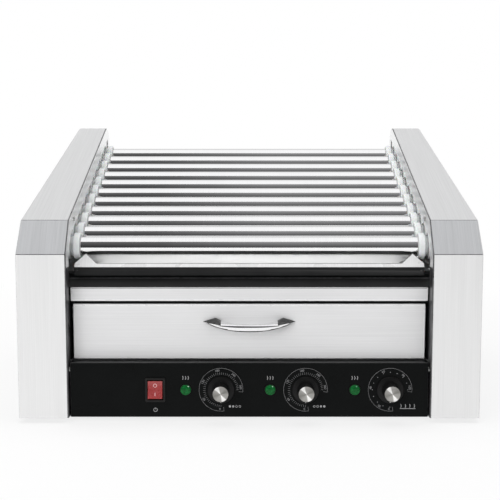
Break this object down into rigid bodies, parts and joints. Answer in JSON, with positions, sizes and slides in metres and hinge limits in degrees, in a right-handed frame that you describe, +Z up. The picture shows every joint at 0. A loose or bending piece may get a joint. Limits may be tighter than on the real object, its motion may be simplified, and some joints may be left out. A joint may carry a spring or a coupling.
{
  "type": "hot dog roller grill",
  "caption": "Countertop roller grill: heated rollers on a slope between steel side housings, drip tray, bun-warmer drawer and a control panel with knobs, lamps and a rocker switch.",
  "frame": {"origin": "centre of the overall box, at the feet's resting plane", "axes": "+X to the right as seen from the front, +Y to the rear, +Z up"},
  "size_m": [0.58, 0.443, 0.3683],
  "materials": {
    "housing_steel": "brushed",
    "frame_steel": "mill",
    "mirror_steel": "polished",
    "roller_steel": "polished",
    "tray_steel": "polished",
    "handle_chrome": "plated",
    "heater_steel": "satin",
    "drive_steel": "oiled",
    "screw_steel": "plated",
    "motor_grey": "satin",
    "enamel_black": "gloss",
    "ring_white": "satin",
    "rubber_black": "matte",
    "knob_black": "satin",
    "cap_metal": "turned",
    "switch_black": "satin",
    "rocker_red": "gloss",
    "lens_green": "gloss"
  },
  "bodies": {
    "housing": {"base_pan": "frame_steel", "rubber_feet": "rubber_black", "back_panel": "frame_steel", "left_side_plate": "mirror_steel", "right_side_plate": "mirror_steel", "left_side_cover": "housing_steel", "right_side_cover": "housing_steel", "left_seal_rings": "ring_white", "right_seal_rings": "ring_white", "heater_rods": "heater_steel", "heater_bracket": "frame_steel", "drive_chain": "drive_steel", "gear_motor": "motor_grey", "tray_deck": "frame_steel", "front_apron": "enamel_black", "header_rail": "housing_steel", "bay_ceiling": "frame_steel", "bay_shelf": "frame_steel", "warming_element": "heater_steel", "drawer_runners": "frame_steel", "control_panel": "enamel_black", "switch_frame": "switch_black", "indicator_lamps": "lens_green", "thermostats": "switch_black", "cord_gland": "switch_black", "housing_screws": "screw_steel"},
    "roller_01": {"roller_01": "roller_steel", "sprocket_01": "drive_steel"},
    "roller_02": {"roller_02": "roller_steel", "sprocket_02": "drive_steel"},
    "roller_03": {"roller_03": "roller_steel", "sprocket_03": "drive_steel"},
    "roller_04": {"roller_04": "roller_steel", "sprocket_04": "drive_steel"},
    "roller_05": {"roller_05": "roller_steel", "sprocket_05": "drive_steel"},
    "roller_06": {"roller_06": "roller_steel", "sprocket_06": "drive_steel"},
    "roller_07": {"roller_07": "roller_steel", "sprocket_07": "drive_steel"},
    "roller_08": {"roller_08": "roller_steel", "sprocket_08": "drive_steel"},
    "roller_09": {"roller_09": "roller_steel", "sprocket_09": "drive_steel"},
    "roller_10": {"roller_10": "roller_steel", "sprocket_10": "drive_steel"},
    "roller_11": {"roller_11": "roller_steel", "sprocket_11": "drive_steel"},
    "motor_output": {"motor_sprocket": "drive_steel"},
    "tray": {"drip_tray": "tray_steel"},
    "drawer": {"drawer_front": "housing_steel", "drawer_box": "frame_steel", "drawer_handle": "handle_chrome"},
    "front_dial": {"front_knob": "knob_black", "front_knob_cap": "cap_metal"},
    "back_dial": {"back_knob": "knob_black", "back_knob_cap": "cap_metal"},
    "warmer_dial": {"warmer_knob": "knob_black", "warmer_knob_cap": "cap_metal"},
    "rocker": {"switch_rocker": "rocker_red"}
  },
  "joints": [
    {"name": "roller_01_spin", "type": "hinge", "parent": "housing", "child": "roller_01", "pos_m": [0, -0.13986, 0.21697], "axis": [1, 0, 0], "continuous": true},
    {"name": "roller_02_spin", "type": "hinge", "parent": "housing", "child": "roller_02", "pos_m": [0, -0.1061, 0.22762], "axis": [1, 0, 0], "continuous": true},
    {"name": "roller_03_spin", "type": "hinge", "parent": "housing", "child": "roller_03", "pos_m": [0, -0.07233, 0.23826], "axis": [1, 0, 0], "continuous": true},
    {"name": "roller_04_spin", "type": "hinge", "parent": "housing", "child": "roller_04", "pos_m": [0, -0.03857, 0.24891], "axis": [1, 0, 0], "continuous": true},
    {"name": "roller_05_spin", "type": "hinge", "parent": "housing", "child": "roller_05", "pos_m": [0, -0.00481, 0.25955], "axis": [1, 0, 0], "continuous": true},
    {"name": "roller_06_spin", "type": "hinge", "parent": "housing", "child": "roller_06", "pos_m": [0, 0.02895, 0.2702], "axis": [1, 0, 0], "continuous": true},
    {"name": "roller_07_spin", "type": "hinge", "parent": "housing", "child": "roller_07", "pos_m": [0, 0.06271, 0.28084], "axis": [1, 0, 0], "continuous": true},
    {"name": "roller_08_spin", "type": "hinge", "parent": "housing", "child": "roller_08", "pos_m": [0, 0.09647, 0.29149], "axis": [1, 0, 0], "continuous": true},
    {"name": "roller_09_spin", "type": "hinge", "parent": "housing", "child": "roller_09", "pos_m": [0, 0.13023, 0.30213], "axis": [1, 0, 0], "continuous": true},
    {"name": "roller_10_spin", "type": "hinge", "parent": "housing", "child": "roller_10", "pos_m": [0, 0.164, 0.31278], "axis": [1, 0, 0], "continuous": true},
    {"name": "roller_11_spin", "type": "hinge", "parent": "housing", "child": "roller_11", "pos_m": [0, 0.19776, 0.32342], "axis": [1, 0, 0], "continuous": true},
    {"name": "motor_spin", "type": "hinge", "parent": "housing", "child": "motor_output", "pos_m": [0.235, 0.13576, 0.2169], "axis": [1, 0, 0], "continuous": true},
    {"name": "tray_slide", "type": "slide", "parent": "housing", "child": "tray", "axis": [0, -0.9537, -0.3007], "range_m": [0, 0.105]},
    {"name": "drawer_slide", "type": "slide", "parent": "housing", "child": "drawer", "axis": [0, -1, 0], "range_m": [0, 0.3]},
    {"name": "front_knob_turn", "type": "hinge", "parent": "housing", "child": "front_dial", "pos_m": [-0.0357, -0.19756, 0.041], "axis": [0, 1, 0], "range_deg": [0, 275]},
    {"name": "back_knob_turn", "type": "hinge", "parent": "housing", "child": "back_dial", "pos_m": [0.0709, -0.19756, 0.041], "axis": [0, 1, 0], "range_deg": [0, 275]},
    {"name": "warmer_knob_turn", "type": "hinge", "parent": "housing", "child": "warmer_dial", "pos_m": [0.1775, -0.19756, 0.041], "axis": [0, 1, 0], "range_deg": [0, 275]},
    {"name": "power_rocker", "type": "hinge", "parent": "housing", "child": "rocker", "pos_m": [-0.1185, -0.19756, 0.041], "axis": [1, 0, 0], "range_deg": [0, 20]}
  ],
  "couplings": [
    {"joint": "roller_02_spin", "follows": "roller_01_spin", "ratio": 1},
    {"joint": "roller_03_spin", "follows": "roller_01_spin", "ratio": 1},
    {"joint": "roller_04_spin", "follows": "roller_01_spin", "ratio": 1},
    {"joint": "roller_05_spin", "follows": "roller_01_spin", "ratio": 1},
    {"joint": "roller_06_spin", "follows": "roller_01_spin", "ratio": 1},
    {"joint": "roller_07_spin", "follows": "roller_01_spin", "ratio": 1},
    {"joint": "roller_08_spin", "follows": "roller_01_spin", "ratio": 1},
    {"joint": "roller_09_spin", "follows": "roller_01_spin", "ratio": 1},
    {"joint": "roller_10_spin", "follows": "roller_01_spin", "ratio": 1},
    {"joint": "roller_11_spin", "follows": "roller_01_spin", "ratio": 1},
    {"joint": "motor_spin", "follows": "roller_01_spin", "ratio": 1}
  ]
}
